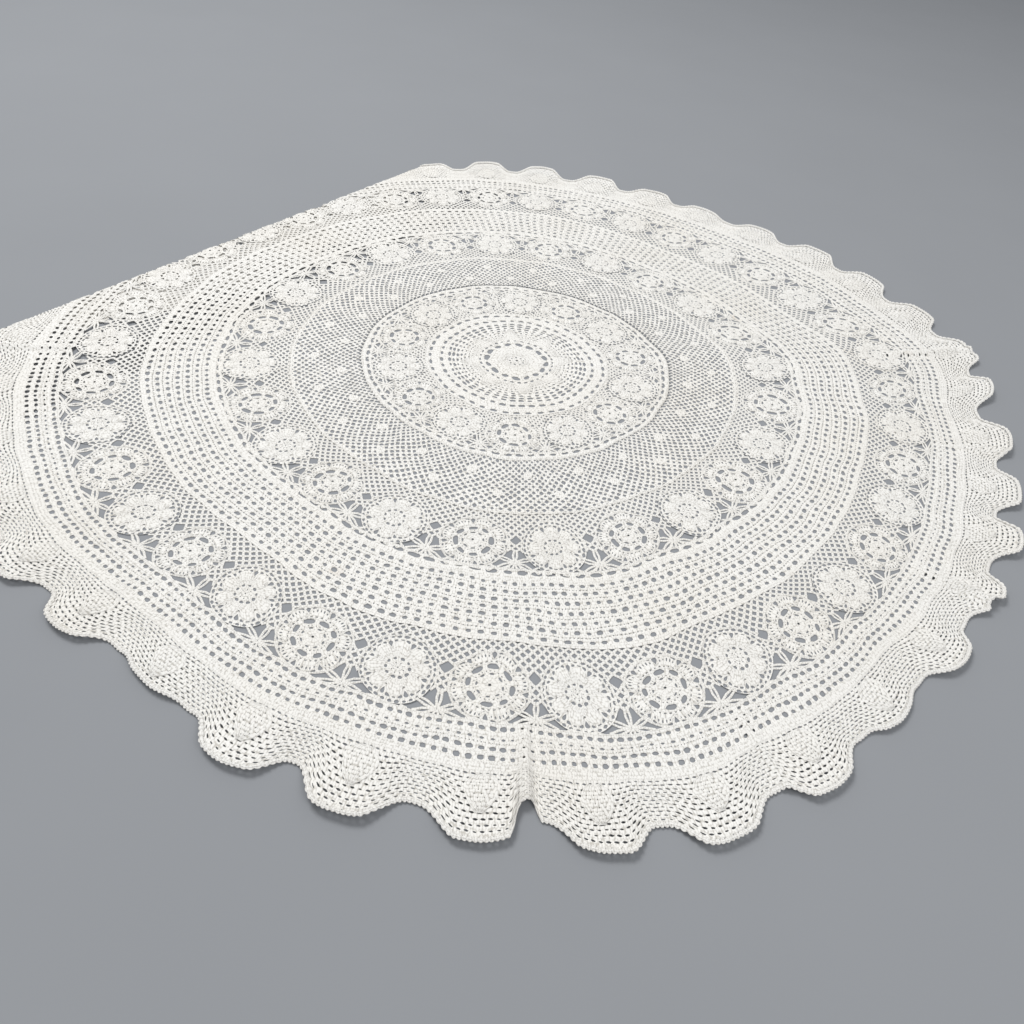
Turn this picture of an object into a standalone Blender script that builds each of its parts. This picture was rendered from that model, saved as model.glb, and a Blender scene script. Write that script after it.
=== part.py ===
"""Round crochet tablecloth, laid flat with one side turned under.

The cloth is worked in sections from the middle outwards: a medallion, three rings of flower
motifs with nets between them, an openwork border and a scalloped ruffle. Each section is one
thin closed sheet. All of them are drawn flat first, then laid: pushed a little out of round,
lifted over the creases and the ruffle's waves, and folded back under along one straight line.

Units are metres, +Z is up, and the origin is on the underside at the middle of the cloth.
"""
import math

import bmesh
import bpy
from mathutils import Vector

# ---- driving dimensions -------------------------------------------------------------------
BAND_RADIUS = 0.760          # middle of the close-worked band that carries the ruffle
SHEET = 0.0015               # thickness of the worked cotton
GAP = 0.0003                 # between neighbouring sections

# Outer edge of each section, as a share of BAND_RADIUS
MEDALLION_EDGE = 0.187
INNER_MOTIFS_EDGE = 0.345
SPOTTED_NET_EDGE = 0.4955
MIDDLE_MOTIFS_EDGE = 0.656
FILET_NET_EDGE = 0.787
OUTER_MOTIFS_EDGE = 0.938
BORDER_EDGE = 1.009
SCALLOP_VALLEY = 1.074
SCALLOP_CREST = 1.110

# The outer ring has one motif for each scallop of the ruffle
SCALLOPS = 38
PITCH = math.tau / SCALLOPS
FIRST_SCALLOP = math.radians(-4.1)
SEAM_SCALLOP = -11           # every edge starts here, clear of the creases and the fold

# Openings between the outer motifs: two at each join, as shares of BAND_RADIUS and of the pitch
OPENING_INNER = 0.900
OPENING_OUTER = 0.922
OPENING_NEAR = 0.040
OPENING_FAR = 0.150

# Stations round an edge, as places within one pitch (0 is a motif's middle, 0.5 a join)
EVERY_MOTIF = (0.0,)
MOTIF_AND_JOIN = (0.0, 0.5)
OPENING_SIDES = (0.5 - OPENING_FAR, 0.5 - OPENING_NEAR, 0.5 + OPENING_NEAR, 0.5 + OPENING_FAR)
RUFFLE_MIDDLE = (0.0, 0.22, 0.5, 0.78)
RUFFLE_RIM = (0.0, 0.20, 0.38, 0.5, 0.62, 0.80)

# ---- how the cloth lies -------------------------------------------------------------------
# Where the rings lie off a true circle. Each row: azimuth in degrees, the share by which the
# cloth is pushed out there at the spotted net, at the filet net and at the band, and how far
# it is turned round the middle, in degrees.
UNEVEN = (
    (-170, 0.016, 0.020, 0.028, 2.6),
    (-145, 0.005, -0.003, 0.006, 1.7),
    (-124, -0.005, -0.026, -0.030, 0.8),
    (-105, 0.008, 0.004, -0.004, 0.8),
    (-90, 0.015, 0.006, 0.011, 0.6),
    (-73, 0.000, 0.029, 0.030, -0.8),
    (-57, -0.020, 0.000, 0.000, -1.0),
    (-45, -0.025, -0.008, -0.022, -1.0),
    (-20, 0.000, -0.010, -0.020, -0.8),
    (0, 0.020, 0.020, 0.004, -0.5),
    (15, 0.046, 0.056, 0.070, -0.9),
    (33, 0.010, -0.010, 0.045, -1.7),
    (60, -0.010, -0.036, 0.000, -1.6),
    (90, -0.020, 0.000, 0.000, -0.7),
    (115, -0.020, -0.010, -0.010, -0.6),
    (140, -0.018, -0.022, -0.020, 0.2),
    (165, 0.005, 0.005, 0.010, 2.0),
)
PUSHED_AT = (0.0, 0.42, FILET_NET_EDGE, 1.0)     # radii of the three shares, from the middle

# Radial creases in the border. Each row: azimuth in degrees, share of BAND_RADIUS where it
# starts and where it is full, half its width, its height, and how far it draws the edge in.
CREASES = (
    (-170.0, 0.92, 1.00, 0.010, 0.005, 0.004),
    (-85.5, 0.90, 1.00, 0.011, 0.009, 0.018),
    (-65.5, 0.93, 1.00, 0.010, 0.004, 0.000),
    (-33.5, 0.92, 1.00, 0.013, 0.006, 0.006),
    (-7.0, 0.93, 1.00, 0.010, 0.004, 0.000),
    (14.0, 0.90, 1.00, 0.014, 0.006, 0.004),
)

# The ruffle's waves: a scallop's crest stands this high at the rim, and its valley lies flat
WAVE_HEIGHT = 0.007
# Scallops that differ from the rest. Each row: number round the cloth from the first, extra
# reach, lean to the side as a share of the pitch, and extra height.
UNLIKE_SCALLOPS = (
    (-12, -0.020, 0.00, -0.002),
    (-10, 0.005, -0.06, 0.002),
    (-5, -0.016, 0.00, -0.003),
    (-4, -0.004, 0.05, 0.000),
    (-3, -0.004, 0.12, 0.001),
    (-2, 0.004, 0.16, 0.002),
    (-1, 0.004, 0.00, 0.001),
    (0, 0.005, 0.04, 0.001),
    (1, 0.004, 0.14, 0.003),
    (6, -0.008, 0.00, 0.000),
    (7, -0.018, 0.03, 0.001),
    (8, -0.006, -0.05, 0.001),
    (9, 0.000, -0.08, 0.002),
    (10, -0.002, -0.04, 0.002),
    (11, -0.004, -0.06, 0.002),
    (13, -0.022, 0.00, 0.000),
)

# The straight fold on the far left, beyond which the cloth is turned under
FOLD_AZIMUTH = math.radians(147.4)
FOLD_DISTANCE = 0.871 * BAND_RADIUS
FOLD_RISE = 0.0028           # from the turned-under layer up to the layer above it
BEND_STATIONS = 4            # straight steps round the bend
FLAP_REACH = 0.205           # the upper layer is raised this far in from the fold
FLAP_SLOPE = 0.050           # and comes down to the surface over this length
CALM = 0.060                 # the waves die out over this length before the fold

COTTON = (0.855, 0.825, 0.765, 1.0)
COTTON_ROUGHNESS = 0.85


# ---- laying rules -------------------------------------------------------------------------
def smooth(share):
    """An even rise from 0 to 1, level at both ends."""
    share = min(max(share, 0.0), 1.0)
    return share * share * (3.0 - 2.0 * share)


def turned(angle):
    """The same direction as an angle from -pi to pi."""
    return (angle + math.pi) % math.tau - math.pi


def unevenness(azimuth):
    """Read the UNEVEN table between its rows: three shares and a turn, in radians."""
    degrees = math.degrees(turned(azimuth))
    rows = [(UNEVEN[-1][0] - 360,) + UNEVEN[-1][1:]] + list(UNEVEN)
    rows.append((UNEVEN[0][0] + 360,) + UNEVEN[0][1:])
    for before, after in zip(rows, rows[1:]):
        if before[0] <= degrees <= after[0]:
            blend = smooth((degrees - before[0]) / (after[0] - before[0]))
            values = [a + (b - a) * blend for a, b in zip(before[1:], after[1:])]
            return values[:3], math.radians(values[3])
    return [0.0, 0.0, 0.0], 0.0


def spread(radius, azimuth):
    """A place on the round drawing, moved to where the flat but uneven cloth has it."""
    shares, turn = unevenness(azimuth)
    shares = [0.0] + shares
    at = radius / BAND_RADIUS
    push = shares[-1]
    for inner, outer, low, high in zip(PUSHED_AT, PUSHED_AT[1:], shares, shares[1:]):
        if at <= outer:
            push = low + (high - low) * (at - inner) / (outer - inner)
            break
    azimuth += turn * min(at / PUSHED_AT[1], 1.0)
    for centre, _start, full, half_width, _height, pull in CREASES:
        across = abs(turned(azimuth - math.radians(centre))) * radius
        if at > full:
            push -= pull / BAND_RADIUS * smooth(1.5 - across / half_width) * (at - full) / 0.07
    reach = radius * (1.0 + push)
    return reach * math.cos(azimuth), reach * math.sin(azimuth)


def scallop(azimuth):
    """How far into a scallop a place on the rim is (0 valley, 1 crest), and that scallop's row."""
    number = round((azimuth - FIRST_SCALLOP) / PITCH)
    place = (azimuth - FIRST_SCALLOP) / PITCH - number
    number = (number + SCALLOPS // 2) % SCALLOPS - SCALLOPS // 2
    reach, lean, lift = 0.0, 0.0, 0.0
    for row in UNLIKE_SCALLOPS:
        if row[0] == number:
            reach, lean, lift = row[1:]
    place -= lean * (1.0 - 4.0 * place * place)
    return smooth((0.46 - abs(place)) / 0.28), reach, lift


def rim_radius(azimuth):
    """Radius of the ruffle's scalloped edge."""
    rise, reach, _lift = scallop(azimuth)
    valley = SCALLOP_VALLEY * BAND_RADIUS
    crest = SCALLOP_CREST * BAND_RADIUS + reach
    return valley + (crest - valley) * rise


def wave_height(radius, azimuth):
    """Height of the ruffle's waves above the surface."""
    start = BORDER_EDGE * BAND_RADIUS
    if radius <= start:
        return 0.0
    rise, _reach, lift = scallop(azimuth)
    return (WAVE_HEIGHT + lift) * rise * (radius - start) / (rim_radius(azimuth) - start)


def crease_height(x, y):
    """Height of the radial creases at a place on the flat cloth."""
    at = math.hypot(x, y) / BAND_RADIUS
    height = 0.0
    for centre, start, full, half_width, top, _pull in CREASES:
        direction = math.radians(centre)
        along = x * math.cos(direction) + y * math.sin(direction)
        across = abs(y * math.cos(direction) - x * math.sin(direction))
        if along > 0.0 and across < half_width:
            height += top * (1.0 - across / half_width) * smooth((at - start) / (full - start))
    return height


def beyond_fold(x, y):
    """Distance past the fold line, negative on the middle's side."""
    return x * math.cos(FOLD_AZIMUTH) + y * math.sin(FOLD_AZIMUTH) - FOLD_DISTANCE


def folded(x, y, height):
    """Turn a place under if it is past the fold line. Height is above the cloth's underside."""
    past = beyond_fold(x, y)
    radius = FOLD_RISE / 2.0
    from_middle = height - SHEET / 2.0
    if past <= 0.0:
        raised = min(max((past + FLAP_REACH + FLAP_SLOPE) / FLAP_SLOPE, 0.0), 1.0)
        return Vector((x, y, FOLD_RISE * raised + height))
    angle = min(past / radius, math.pi)
    straight = max(past - math.pi * radius, 0.0)
    out = (radius + from_middle) * math.sin(angle) - straight - past
    z = SHEET / 2.0 + radius + (radius + from_middle) * math.cos(angle)
    return Vector((x + out * math.cos(FOLD_AZIMUTH), y + out * math.sin(FOLD_AZIMUTH), z))


# ---- sheets -------------------------------------------------------------------------------
def ring_of_places(radius, stations):
    """Azimuth and radius of each station round one edge."""
    places = []
    for number in range(SEAM_SCALLOP, SEAM_SCALLOP + SCALLOPS):
        for station in stations:
            azimuth = FIRST_SCALLOP + (number + station) * PITCH
            places.append((azimuth, radius(azimuth) if callable(radius) else radius))
    return places


def add_ring(sheet, radius, stations):
    """Put one edge's vertices on the flat sheet, each with its azimuth on the round drawing."""
    azimuths = sheet.verts.layers.float["azimuth"]
    radii = sheet.verts.layers.float["radius"]
    ring = []
    for azimuth, reach in ring_of_places(radius, stations):
        x, y = spread(reach, azimuth)
        vertex = sheet.verts.new((x, y, 0.0))
        vertex[azimuths] = azimuth
        vertex[radii] = reach
        ring.append((azimuth, vertex))
    return ring


def stitch(sheet, inner, outer, is_open=None):
    """Fill the strip between two edges with triangles, walking round both at once."""
    def place(ring, index):
        azimuth, vertex = ring[index % len(ring)]
        return azimuth + math.tau * (index // len(ring)), vertex

    i, j = 0, 0
    while i < len(inner) or j < len(outer):
        next_inner = place(inner, i + 1)
        next_outer = place(outer, j + 1)
        corners = [place(inner, i), place(outer, j)]
        if j == len(outer) or (i < len(inner) and next_inner[0] <= next_outer[0]):
            corners.append(next_inner)
            i += 1
        else:
            corners.append(next_outer)
            j += 1
        middle = sum(corner[0] for corner in corners) / 3.0
        if is_open is None or not is_open(middle):
            sheet.faces.new([corner[1] for corner in corners])


def is_opening(azimuth):
    """True where one of the two openings at a join between outer motifs lies."""
    place = ((azimuth - FIRST_SCALLOP) / PITCH) % 1.0
    return OPENING_NEAR < abs(place - 0.5) < OPENING_FAR


def cut_across(sheet, point, normal, faces):
    """Add the edges where a straight line crosses the given faces of the flat sheet."""
    edges = {edge for face in faces for edge in face.edges}
    verts = {vertex for face in faces for vertex in face.verts}
    bmesh.ops.bisect_plane(sheet, geom=list(faces) + list(edges) + list(verts), dist=0.00005,
                           plane_co=point, plane_no=normal)


def add_fold_lines(sheet):
    """Cut the sheet where the fold bends it and where the raised layer slopes down."""
    normal = Vector((math.cos(FOLD_AZIMUTH), math.sin(FOLD_AZIMUTH), 0.0))
    bend = math.pi * FOLD_RISE / 2.0
    lines = [bend * step / BEND_STATIONS for step in range(BEND_STATIONS + 1)]
    lines += [-FLAP_REACH, -FLAP_REACH - FLAP_SLOPE]
    for line in lines:
        cut_across(sheet, normal * (FOLD_DISTANCE + line), normal, sheet.faces[:])


def add_crease_lines(sheet):
    """Cut the sheet along the top and the two feet of each crease that reaches it."""
    for centre, _start, _full, half_width, _height, _pull in CREASES:
        direction = math.radians(centre)
        along = Vector((math.cos(direction), math.sin(direction), 0.0))
        across = Vector((-along.y, along.x, 0.0))
        for offset in (-half_width, 0.0, half_width):
            near = [face for face in sheet.faces if face.calc_center_median().normalized().dot(along) > 0.98]
            cut_across(sheet, across * offset, across, near)


def new_sheet():
    """An empty flat sheet whose vertices remember their place on the round drawing."""
    sheet = bmesh.new()
    sheet.verts.layers.float.new("azimuth")
    sheet.verts.layers.float.new("radius")
    return sheet


def make_cotton(name):
    """Off-white cotton yarn."""
    material = bpy.data.materials.new(name)
    material.use_nodes = True
    shader = material.node_tree.nodes["Principled BSDF"]
    shader.inputs["Base Color"].default_value = COTTON
    shader.inputs["Roughness"].default_value = COTTON_ROUGHNESS
    shader.inputs["Metallic"].default_value = 0.0
    material.diffuse_color = COTTON
    return material


def split_walls(sheet):
    """Divide each wall of the flat sheet the same way, so that two walls a gap apart stay apart."""
    sheet.normal_update()
    for wall in [face for face in sheet.faces if abs(face.normal.z) < 0.5]:
        corners = sorted(wall.verts, key=lambda vertex: (vertex.co.z, beyond_fold(vertex.co.x, vertex.co.y)))
        bmesh.utils.face_split(wall, corners[0], corners[3])


def lay_down(sheet, name):
    """Give the flat sheet its thickness, lay every vertex where it belongs and make the object."""
    add_fold_lines(sheet)
    azimuths = sheet.verts.layers.float["azimuth"]
    radii = sheet.verts.layers.float["radius"]
    top = bmesh.ops.extrude_face_region(sheet, geom=sheet.faces[:])["geom"]
    for vertex in top:
        if isinstance(vertex, bmesh.types.BMVert):
            vertex.co.z = SHEET
    split_walls(sheet)
    for vertex in sheet.verts:
        x, y, height = vertex.co
        calm = smooth(-beyond_fold(x, y) / CALM)
        lift = crease_height(x, y) + wave_height(vertex[radii], vertex[azimuths])
        vertex.co = folded(x, y, height)
        vertex.co.z += lift * calm
    bmesh.ops.triangulate(sheet, faces=sheet.faces[:])
    bmesh.ops.recalc_face_normals(sheet, faces=sheet.faces[:])
    mesh = bpy.data.meshes.new(name)
    sheet.to_mesh(mesh)
    sheet.free()
    mesh.materials.append(make_cotton(name + "_cotton"))
    node = bpy.data.objects.new(name, mesh)
    bpy.context.scene.collection.objects.link(node)
    return node


def edge_radius(share, side):
    """Radius of a section's edge, half the gap inside (-1) or outside (+1) the shared line."""
    return share * BAND_RADIUS + side * GAP / 2.0


# ---- sections -----------------------------------------------------------------------------
def make_medallion():
    """The middle: a flat disc, its rosette and leaves left to the surface work."""
    sheet = new_sheet()
    ring = add_ring(sheet, edge_radius(MEDALLION_EDGE, -1), EVERY_MOTIF)
    sheet.faces.new([vertex for _azimuth, vertex in ring])
    return lay_down(sheet, "centre_medallion")


def make_plain_ring(name, inner_share, inner_stations, outer_share, outer_stations):
    """A net or a ring of motifs without large openings."""
    sheet = new_sheet()
    inner = add_ring(sheet, edge_radius(inner_share, 1), inner_stations)
    outer = add_ring(sheet, edge_radius(outer_share, -1), outer_stations)
    stitch(sheet, inner, outer)
    return lay_down(sheet, name)


def make_outer_motifs():
    """The outer ring of motifs, with the two large openings at every join."""
    sheet = new_sheet()
    rings = [add_ring(sheet, radius, OPENING_SIDES) for radius in (
        edge_radius(FILET_NET_EDGE, 1),
        OPENING_INNER * BAND_RADIUS,
        OPENING_OUTER * BAND_RADIUS,
        edge_radius(OUTER_MOTIFS_EDGE, -1),
    )]
    stitch(sheet, rings[0], rings[1])
    stitch(sheet, rings[1], rings[2], is_opening)
    stitch(sheet, rings[2], rings[3])
    add_crease_lines(sheet)
    return lay_down(sheet, "outer_motif_ring")


def make_border():
    """The openwork border and the close-worked band, crossed by the creases."""
    sheet = new_sheet()
    inner = add_ring(sheet, edge_radius(OUTER_MOTIFS_EDGE, 1), OPENING_SIDES)
    outer = add_ring(sheet, edge_radius(BORDER_EDGE, -1), MOTIF_AND_JOIN)
    stitch(sheet, inner, outer)
    add_crease_lines(sheet)
    return lay_down(sheet, "openwork_border")


def make_ruffle():
    """The scalloped ruffle, in waves."""
    sheet = new_sheet()
    start = edge_radius(BORDER_EDGE, 1)
    inner = add_ring(sheet, start, MOTIF_AND_JOIN)
    middle = add_ring(sheet, lambda azimuth: (start + rim_radius(azimuth)) / 2.0, RUFFLE_MIDDLE)
    rim = add_ring(sheet, rim_radius, RUFFLE_RIM)
    stitch(sheet, inner, middle)
    stitch(sheet, middle, rim)
    add_crease_lines(sheet)
    return lay_down(sheet, "ruffled_edging")


def main():
    for item in list(bpy.data.objects):
        bpy.data.objects.remove(item, do_unlink=True)
    make_medallion()
    make_plain_ring("inner_motif_ring", MEDALLION_EDGE, EVERY_MOTIF, INNER_MOTIFS_EDGE, EVERY_MOTIF)
    make_plain_ring("spotted_net", INNER_MOTIFS_EDGE, EVERY_MOTIF, SPOTTED_NET_EDGE, EVERY_MOTIF)
    make_plain_ring("middle_motif_ring", SPOTTED_NET_EDGE, EVERY_MOTIF, MIDDLE_MOTIFS_EDGE, MOTIF_AND_JOIN)
    make_plain_ring("filet_net", MIDDLE_MOTIFS_EDGE, MOTIF_AND_JOIN, FILET_NET_EDGE, OPENING_SIDES)
    make_outer_motifs()
    make_border()
    make_ruffle()


main()
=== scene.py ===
"""The lace of a round crochet tablecloth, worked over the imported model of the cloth.

Every section is drawn flat and round, from cells (one hole or one stitch with the yarn round it)
and cords (single chains of yarn), and is then laid on the model with the model's own rules for
its uneven rings, creases, waves and fold. Units are metres. Radii called shares are parts of
BAND_RADIUS, the middle of the close-worked band that carries the ruffle.
"""

import math

import bpy
import numpy as np
from mathutils import Matrix, Vector


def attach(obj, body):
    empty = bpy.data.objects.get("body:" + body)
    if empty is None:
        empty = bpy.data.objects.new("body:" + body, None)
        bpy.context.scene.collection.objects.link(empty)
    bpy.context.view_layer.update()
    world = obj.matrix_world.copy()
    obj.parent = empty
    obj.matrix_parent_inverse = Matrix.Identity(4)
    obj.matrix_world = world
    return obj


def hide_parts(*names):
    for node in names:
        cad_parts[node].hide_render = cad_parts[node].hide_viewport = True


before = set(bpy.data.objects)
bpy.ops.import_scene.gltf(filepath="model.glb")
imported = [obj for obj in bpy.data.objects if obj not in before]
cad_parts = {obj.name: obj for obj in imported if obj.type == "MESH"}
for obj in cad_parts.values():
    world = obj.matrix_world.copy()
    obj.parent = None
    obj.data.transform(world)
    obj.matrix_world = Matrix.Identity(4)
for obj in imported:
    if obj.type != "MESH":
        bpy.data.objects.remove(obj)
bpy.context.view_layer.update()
TAU = math.tau

# ---- the model's driving dimensions, repeated --
BAND_RADIUS = 0.760
SHEET = 0.0015
MEDALLION_EDGE = 0.187
INNER_MOTIFS_EDGE = 0.345
SPOTTED_NET_EDGE = 0.4955
MIDDLE_MOTIFS_EDGE = 0.656
FILET_NET_EDGE = 0.787
OUTER_MOTIFS_EDGE = 0.938
BORDER_EDGE = 1.009
SCALLOP_VALLEY = 1.074
SCALLOP_CREST = 1.110
SCALLOPS = 38
PITCH = TAU / SCALLOPS
FIRST_SCALLOP = math.radians(-4.1)

# Azimuth in degrees, outward push at the spotted net, the filet net and the band, turn in degrees
UNEVEN = np.array((
    (-170, 0.016, 0.020, 0.028, 2.6),
    (-145, 0.005, -0.003, 0.006, 1.7),
    (-124, -0.005, -0.026, -0.030, 0.8),
    (-105, 0.008, 0.004, -0.004, 0.8),
    (-90, 0.015, 0.006, 0.011, 0.6),
    (-73, 0.000, 0.029, 0.030, -0.8),
    (-57, -0.020, 0.000, 0.000, -1.0),
    (-45, -0.025, -0.008, -0.022, -1.0),
    (-20, 0.000, -0.010, -0.020, -0.8),
    (0, 0.020, 0.020, 0.004, -0.5),
    (15, 0.046, 0.056, 0.070, -0.9),
    (33, 0.010, -0.010, 0.045, -1.7),
    (60, -0.010, -0.036, 0.000, -1.6),
    (90, -0.020, 0.000, 0.000, -0.7),
    (115, -0.020, -0.010, -0.010, -0.6),
    (140, -0.018, -0.022, -0.020, 0.2),
    (165, 0.005, 0.005, 0.010, 2.0),
))
PUSHED_AT = (0.0, 0.42, FILET_NET_EDGE, 1.0)
# Azimuth in degrees, share where it starts and where it is full, half width, height, inward pull
CREASES = (
    (-170.0, 0.92, 1.00, 0.010, 0.005, 0.004),
    (-85.5, 0.90, 1.00, 0.011, 0.009, 0.018),
    (-65.5, 0.93, 1.00, 0.010, 0.004, 0.000),
    (-33.5, 0.92, 1.00, 0.013, 0.006, 0.006),
    (-7.0, 0.93, 1.00, 0.010, 0.004, 0.000),
    (14.0, 0.90, 1.00, 0.014, 0.006, 0.004),
)
# Across a scallop, as shares of the pitch: half of it without its valley, and how far it rises
SCALLOP_HALF = 0.46
SCALLOP_SIDE = 0.28
CREST_BULGE = 0.018          # makes the crests a little rounder than the model's
BULGE_LEVEL = 0.87           # where the bulge adds nothing
PULL_WIDTH = 1.5             # how far to its sides a crease draws the edge in, in half widths
PULL_LENGTH = 0.07           # share over which it does so
WAVE_HEIGHT = 0.007
# Scallop's number, extra reach, lean as a share of the pitch, extra height
UNLIKE_SCALLOPS = (
    (-12, -0.020, 0.00, -0.002),
    (-10, 0.005, -0.06, 0.002),
    (-5, -0.016, 0.00, -0.003),
    (-4, -0.004, 0.05, 0.000),
    (-3, -0.004, 0.12, 0.001),
    (-2, 0.004, 0.16, 0.002),
    (-1, 0.004, 0.00, 0.001),
    (0, 0.005, 0.04, 0.001),
    (1, 0.004, 0.14, 0.003),
    (6, -0.008, 0.00, 0.000),
    (7, -0.018, 0.03, 0.001),
    (8, -0.006, -0.05, 0.001),
    (9, 0.000, -0.08, 0.002),
    (10, -0.002, -0.04, 0.002),
    (11, -0.004, -0.06, 0.002),
    (13, -0.022, 0.00, 0.000),
)
FOLD_AZIMUTH = math.radians(147.4)
FOLD_DISTANCE = 0.871 * BAND_RADIUS
FOLD_RISE = 0.0028
FLAP_REACH = 0.205
FLAP_SLOPE = 0.050
CALM = 0.060

# ---- yarn --------------------------------------
LOW = 0.0007                 # where a cord's side meets the surface under it
GROOVE = 0.0014              # between two stitches
EDGE = 0.0019                # height of every repeat's outline, so that neighbours meet
STITCH = 0.0024              # crown of a close-worked stitch
RAISED = 0.0026              # crown of a cord on top of the work
CHAIN_WIDTH = 0.0037
HOLE_VARIES = 0.20           # how much holes differ in size, as a share
HOLE_SHIFTS = 0.08           # and in place, as a share of the cell
HOLE_WARPS = 0.12            # and in outline, as a share
WELD = 1e-6                  # corners of faces that agree to this are one
CHANCE = np.random.default_rng(38)


# ---- laying rules, as in the model -------------
def smooth(share):
    """An even rise from 0 to 1, level at both ends."""
    share = np.clip(share, 0.0, 1.0)
    return share * share * (3.0 - 2.0 * share)


def turned(angle):
    """The same direction as an angle from -pi to pi."""
    return (angle + math.pi) % TAU - math.pi


def unevenness(azimuth):
    """Read the UNEVEN table between its rows: three shares and a turn in degrees."""
    before = UNEVEN[-1] - (360, 0, 0, 0, 0)
    after = UNEVEN[0] + (360, 0, 0, 0, 0)
    rows = np.vstack((before, UNEVEN, after))
    degrees = np.degrees(turned(azimuth))
    index = np.clip(np.searchsorted(rows[:, 0], degrees) - 1, 0, len(rows) - 2)
    low, high = rows[index], rows[index + 1]
    blend = smooth((degrees - low[..., 0]) / (high[..., 0] - low[..., 0]))
    return low[..., 1:] + (high[..., 1:] - low[..., 1:]) * blend[..., None]


def spread(radius, azimuth):
    """Places on the round drawing, moved to where the flat but uneven cloth has them."""
    values = unevenness(azimuth)
    shares = [np.zeros_like(radius), values[..., 0], values[..., 1], values[..., 2]]
    at = radius / BAND_RADIUS
    push = np.zeros_like(radius)
    for inner, outer, low, high in zip(PUSHED_AT, PUSHED_AT[1:], shares, shares[1:]):
        push += (high - low) * np.clip((at - inner) / (outer - inner), 0.0, 1.0)
    azimuth = azimuth + np.radians(values[..., 3]) * np.minimum(at / PUSHED_AT[1], 1.0)
    for centre, _start, full, half_width, _height, pull in CREASES:
        across = np.abs(turned(azimuth - math.radians(centre))) * radius
        past = np.maximum(at - full, 0.0)
        push -= pull / BAND_RADIUS * smooth(PULL_WIDTH - across / half_width) * past / PULL_LENGTH
    return on_circle(radius * (1.0 + push), azimuth)


def scallop(azimuth):
    """How far up a scallop each place is (0 valley, 1 crest), its extra reach and height, and where
    it lies across the scallop (-0.5 to 0.5)."""
    unlike = np.zeros((SCALLOPS, 3))
    for number, *values in UNLIKE_SCALLOPS:
        unlike[number % SCALLOPS] = values
    place = (azimuth - FIRST_SCALLOP) / PITCH
    number = np.round(place)
    reach, lean, lift = np.moveaxis(unlike[number.astype(int) % SCALLOPS], -1, 0)
    place = place - number
    place = place - lean * (1.0 - 4.0 * place * place)
    return smooth((SCALLOP_HALF - np.abs(place)) / SCALLOP_SIDE), reach, lift, place


def rim_radius(azimuth):
    """Radius of the ruffle's scalloped edge, with its crests a little rounder than the model's."""
    rise, reach, _lift, place = scallop(azimuth)
    valley = SCALLOP_VALLEY * BAND_RADIUS
    bulge = np.cos(np.clip(np.abs(place) / SCALLOP_HALF, 0.0, 1.0) * math.pi / 2.0) - BULGE_LEVEL
    return valley + (SCALLOP_CREST * BAND_RADIUS + reach - valley + CREST_BULGE * bulge) * rise


def wave_height(radius, azimuth):
    """Height of the ruffle's waves above the surface."""
    start = BORDER_EDGE * BAND_RADIUS
    rise, _reach, lift, _place = scallop(azimuth)
    share = (radius - start) / (rim_radius(azimuth) - start)
    return (WAVE_HEIGHT + lift) * rise * np.maximum(share, 0.0)


def from_crease(x, y, centre):
    """How far places are along a crease and to its side. centre is its azimuth in degrees."""
    direction = math.radians(centre)
    along = x * math.cos(direction) + y * math.sin(direction)
    return along, np.abs(y * math.cos(direction) - x * math.sin(direction))


def crease_height(x, y):
    """Height of the radial creases at places on the flat cloth."""
    at = np.hypot(x, y) / BAND_RADIUS
    height = np.zeros_like(x)
    for centre, start, full, half_width, top, _pull in CREASES:
        along, across = from_crease(x, y, centre)
        ridge = smooth(1.0 - across / half_width) * smooth((at - start) / (full - start))
        height += top * ridge * (along > 0.0)
    return height


def past_fold(x, y):
    """How far places on the flat cloth are past the fold line."""
    return x * math.cos(FOLD_AZIMUTH) + y * math.sin(FOLD_AZIMUTH) - FOLD_DISTANCE


def folded(x, y, height):
    """Turn places under that are past the fold line. Height is above the cloth's underside."""
    past = past_fold(x, y)
    radius = FOLD_RISE / 2.0
    middle = height - SHEET / 2.0
    raised = FOLD_RISE * np.clip((past + FLAP_REACH + FLAP_SLOPE) / FLAP_SLOPE, 0.0, 1.0)
    angle = np.clip(past / radius, 0.0, math.pi)
    straight = np.maximum(past - math.pi * radius, 0.0)
    under = past > 0.0
    out = np.where(under, (radius + middle) * np.sin(angle) - straight - past, 0.0)
    round_bend = SHEET / 2.0 + radius + (radius + middle) * np.cos(angle)
    z = np.where(under, np.maximum(round_bend, LOW), raised + height)
    return x + out * math.cos(FOLD_AZIMUTH), y + out * math.sin(FOLD_AZIMUTH), z


def lay(x, y, height):
    """From the round drawing to the laid cloth."""
    radius, azimuth = np.hypot(x, y), np.arctan2(y, x)
    flat_x, flat_y = spread(radius, azimuth)
    lift = crease_height(flat_x, flat_y) + wave_height(radius, azimuth)
    calm = smooth(-past_fold(flat_x, flat_y) / CALM)
    x, y, z = folded(flat_x, flat_y, height)
    return np.stack((x, y, z + lift * calm), -1)


def hand_worked(x, y):
    """The small wander of stitches made by hand, the same wherever two sections meet."""
    wander = np.zeros(x.shape + (2,))
    for length, size, turn in ((0.160, 0.0016, 0.4), (0.095, 0.0006, 1.9)):
        one = np.sin((x * math.cos(turn) + y * math.sin(turn)) * TAU / length)
        two = np.sin((y * math.cos(turn) - x * math.sin(turn)) * TAU / length * 1.13 + 1.0)
        wander += size * np.stack((one * two, np.cos(two * 2.0 + one)), -1)
    return wander


def on_circle(radius, azimuth):
    """x and y at a radius and an azimuth."""
    return radius * np.cos(azimuth), radius * np.sin(azimuth)


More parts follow.
